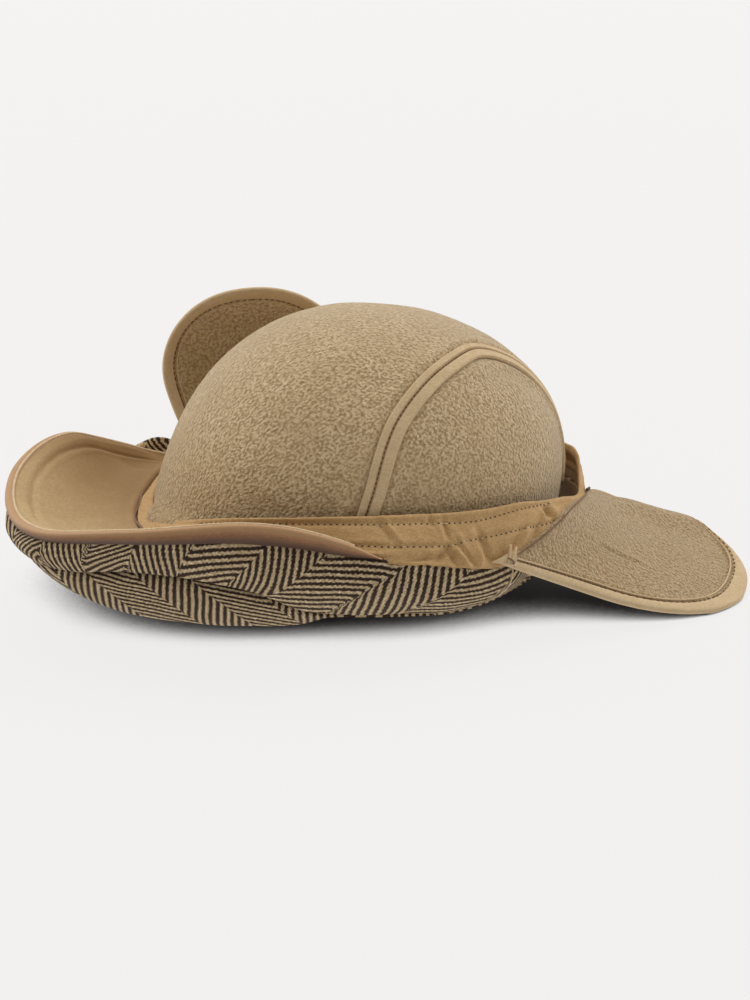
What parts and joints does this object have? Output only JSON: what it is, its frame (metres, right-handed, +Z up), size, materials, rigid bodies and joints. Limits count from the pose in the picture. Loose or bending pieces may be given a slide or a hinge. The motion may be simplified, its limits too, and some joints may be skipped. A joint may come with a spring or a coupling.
{
  "type": "flat cap with ear flaps",
  "caption": "Herringbone tweed flat cap with fleece-lined ear flaps, lying crown-down with its fleece lining pushed out as a dome and one flap spread on the surface.",
  "frame": {"origin": "middle of the flat of the crown on which the cap lies, crown down", "axes": "+Z up, from the crown to the lining's dome; -Y towards the peak; +X towards the wearer's right ear flap as modelled"},
  "size_m": [0.2424, 0.3282, 0.1364],
  "materials": {
    "tweed": "brown and cream herringbone wool tweed",
    "fleece": "beige short-pile fleece",
    "cotton": "tan brushed cotton twill",
    "binding": "beige cotton tape, stitched",
    "piping": "dark brown smooth piping"
  },
  "bodies": {
    "root": {"crown_top": "tweed", "tweed_front": "tweed", "tweed_rear": "tweed", "peak_underside": "cotton", "peak_piping": "piping", "sweatband": "cotton", "lining_right": "fleece", "lining_centre": "fleece", "lining_left": "fleece", "lining_tape_right": "binding", "lining_tape_left": "binding", "ear_flap_right": "fleece", "flap_binding_right": "binding", "ear_flap_left": "fleece", "flap_binding_left": "binding"}
  },
  "joints": []
}
